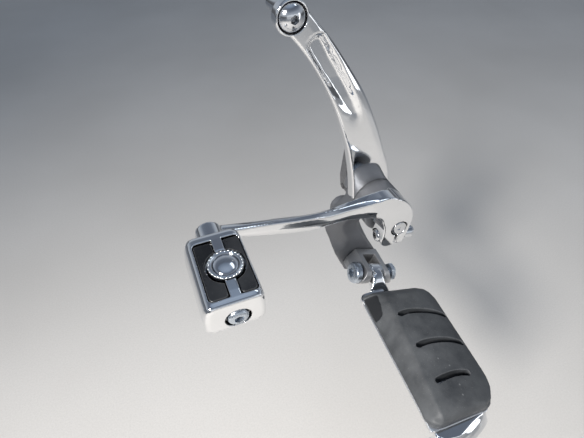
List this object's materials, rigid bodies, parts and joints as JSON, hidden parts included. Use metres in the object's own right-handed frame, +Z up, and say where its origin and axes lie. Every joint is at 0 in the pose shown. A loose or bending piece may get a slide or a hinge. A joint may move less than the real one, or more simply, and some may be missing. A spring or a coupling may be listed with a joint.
{
  "type": "motorcycle foot control assembly",
  "caption": "Left foot control of a cruiser motorcycle: cast bracket with brace, gear lever with toe peg on a cross shaft, and a folding rubber footrest.",
  "frame": {"origin": "on the flat back face of the bracket, midway between its two mounting holes", "axes": "+X to the rear of the motorcycle, +Y inboard out of the bracket's back face, +Z up"},
  "size_m": [0.2081, 0.2339, 0.2658],
  "materials": {
    "chrome": "polished",
    "chrome_bolt": "polished",
    "silver_cast": "satin painted casting",
    "tray_aluminium": "satin",
    "zinc_steel": "zinc plated",
    "plain_steel": "machined",
    "black_steel": "satin black",
    "black_screw": "black oxide",
    "bush_bronze": "sintered bronze",
    "tread_rubber": "matt, dusty"
  },
  "bodies": {
    "bracket": {"peg_bracket": "silver_cast", "shaft_bush_outer": "bush_bronze", "shaft_bush_inner": "bush_bronze", "support_arm": "chrome", "support_arm_bolt": "chrome_bolt", "brace_lower_screw": "black_screw", "peg_clevis": "silver_cast", "clevis_screw": "black_screw", "pivot_bolt": "zinc_steel", "pivot_nut": "zinc_steel", "pivot_washers": "zinc_steel"},
    "lever": {"shift_shaft": "plain_steel", "thrust_washer": "zinc_steel", "shift_lever": "chrome", "lever_pinch_bolt": "chrome_bolt", "inner_arm": "black_steel", "inner_arm_bolt": "black_screw", "toe_peg_cover": "chrome", "toe_peg_treads": "tread_rubber", "toe_peg_stud": "chrome", "toe_peg_screw": "black_screw"},
    "footpeg": {"footpeg_core": "chrome", "footpeg_tray": "tray_aluminium", "footpeg_tread": "tread_rubber", "footpeg_end_cap": "chrome", "footpeg_screws": "zinc_steel"}
  },
  "joints": [
    {"name": "shift_pivot", "type": "hinge", "parent": "bracket", "child": "lever", "pos_m": [0.019, -0.05, 0.04], "axis": [0, 1, 0], "range_deg": [-12, 12], "stiffness_Nm_per_rad": 30},
    {"name": "footpeg_fold", "type": "hinge", "parent": "bracket", "child": "footpeg", "pos_m": [0.0105, -0.057, -0.0275], "axis": [-0.9474, 0.0829, 0.309], "range_deg": [0, 50]}
  ]
}
